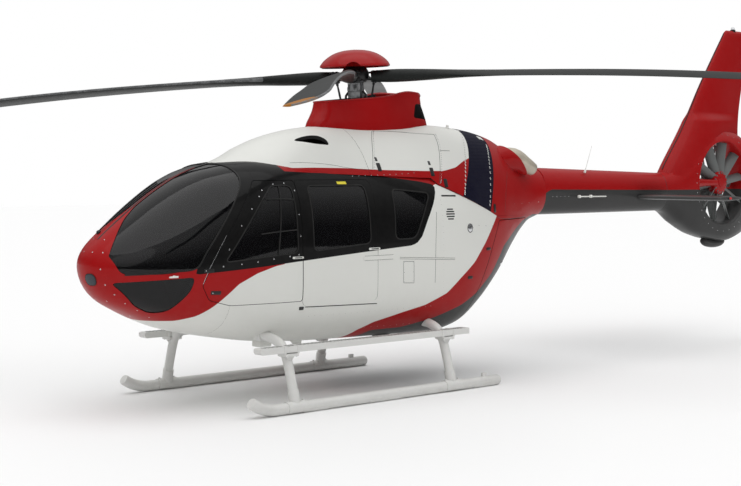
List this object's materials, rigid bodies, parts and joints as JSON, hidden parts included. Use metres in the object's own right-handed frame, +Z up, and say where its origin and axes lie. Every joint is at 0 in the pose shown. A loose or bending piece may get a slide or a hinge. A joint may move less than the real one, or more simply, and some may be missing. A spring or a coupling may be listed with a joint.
{
  "type": "light twin-engined helicopter",
  "caption": "Light helicopter on skids with a glazed nose, hinged crew doors, sliding cabin doors, rear clamshell doors, a drooping main rotor and a shrouded tail fan",
  "frame": {"origin": "on the ground under the middle of the whole machine's box, rotor blades included", "axes": "+X to the nose, +Y to port, +Z up"},
  "size_m": [10.8689, 7.6584, 3.94],
  "materials": {
    "nose_paint": "gloss red over a white lower side",
    "white_paint": "gloss white with a black band by the windows",
    "red_paint": "gloss",
    "dark_paint": "satin",
    "gear_paint": "satin light grey",
    "blade_paint": "satin grey with a coloured stripe near the tip",
    "dark_screen": "fine dark blue mesh",
    "bare_metal": "machined",
    "heated_metal": "heat-tinted",
    "cabin_lining": "matte",
    "seat_cloth": "woven",
    "clear_glazing": "clear, lightly tinted"
  },
  "bodies": {
    "airframe": {"nose_shell": "nose_paint", "cabin_shell": "white_paint", "rear_shell": "red_paint", "windshield_left": "clear_glazing", "windshield_right": "clear_glazing", "chin_window_left": "clear_glazing", "chin_window_right": "clear_glazing", "sliding_door_left": "white_paint", "sliding_door_right": "white_paint", "sliding_door_window_left": "clear_glazing", "sliding_door_window_right": "clear_glazing", "rear_window_left": "clear_glazing", "rear_window_right": "clear_glazing", "cabin_floor": "cabin_lining", "instrument_panel": "cabin_lining", "centre_console": "cabin_lining", "pilot_seat_left": "seat_cloth", "pilot_seat_right": "seat_cloth", "rear_bench": "seat_cloth", "cowl_front": "white_paint", "cowl_left": "white_paint", "cowl_right": "white_paint", "intake_screen": "dark_screen", "cowl_rear": "red_paint", "pylon_fairing": "red_paint", "engine_deck": "bare_metal", "main_gearbox": "bare_metal", "engine_left": "bare_metal", "engine_right": "bare_metal", "exhaust_left": "heated_metal", "exhaust_right": "heated_metal", "tail_boom": "red_paint", "tail_fin": "red_paint", "tail_bumper": "dark_paint", "stabiliser": "dark_paint", "fan_stator": "red_paint", "cross_tube_front": "gear_paint", "cross_tube_rear": "gear_paint", "skid_left": "gear_paint", "skid_right": "gear_paint", "step_left": "gear_paint", "step_right": "gear_paint"},
    "main_rotor": {"rotor_mast": "bare_metal", "rotor_hub": "dark_paint", "hub_cap": "red_paint", "swashplate": "bare_metal", "rotor_blade_1": "blade_paint", "rotor_blade_2": "blade_paint", "rotor_blade_3": "blade_paint", "rotor_blade_4": "blade_paint"},
    "tail_rotor": {"fan_rotor": "dark_paint"},
    "door_front_left": {"front_door_left": "white_paint", "front_door_window_left": "clear_glazing"},
    "door_front_right": {"front_door_right": "white_paint", "front_door_window_right": "clear_glazing"},
    "door_clam_left": {"clamshell_door_left": "red_paint"},
    "door_clam_right": {"clamshell_door_right": "red_paint"}
  },
  "joints": [
    {"name": "main_rotor_spin", "type": "hinge", "parent": "airframe", "child": "main_rotor", "pos_m": [1.6122, 0, 3.1], "axis": [0.0506, 0, 0.9987], "continuous": true},
    {"name": "tail_rotor_spin", "type": "hinge", "parent": "airframe", "child": "tail_rotor", "pos_m": [-4.5178, 0, 1.99], "axis": [0, 1, 0], "continuous": true},
    {"name": "front_door_left_hinge", "type": "hinge", "parent": "airframe", "child": "door_front_left", "pos_m": [4.0122, 0.7, 1.17], "axis": [0.2912, 0, -0.9567], "range_deg": [0, 80]},
    {"name": "front_door_right_hinge", "type": "hinge", "parent": "airframe", "child": "door_front_right", "pos_m": [4.0122, -0.7, 1.17], "axis": [-0.2912, 0, 0.9567], "range_deg": [0, 80]},
    {"name": "clamshell_left_hinge", "type": "hinge", "parent": "airframe", "child": "door_clam_left", "pos_m": [0.4472, 0.8, 1.083], "axis": [0.4833, 0, -0.8755], "range_deg": [0, 90]},
    {"name": "clamshell_right_hinge", "type": "hinge", "parent": "airframe", "child": "door_clam_right", "pos_m": [0.4472, -0.8, 1.083], "axis": [-0.4833, 0, 0.8755], "range_deg": [0, 90]}
  ]
}
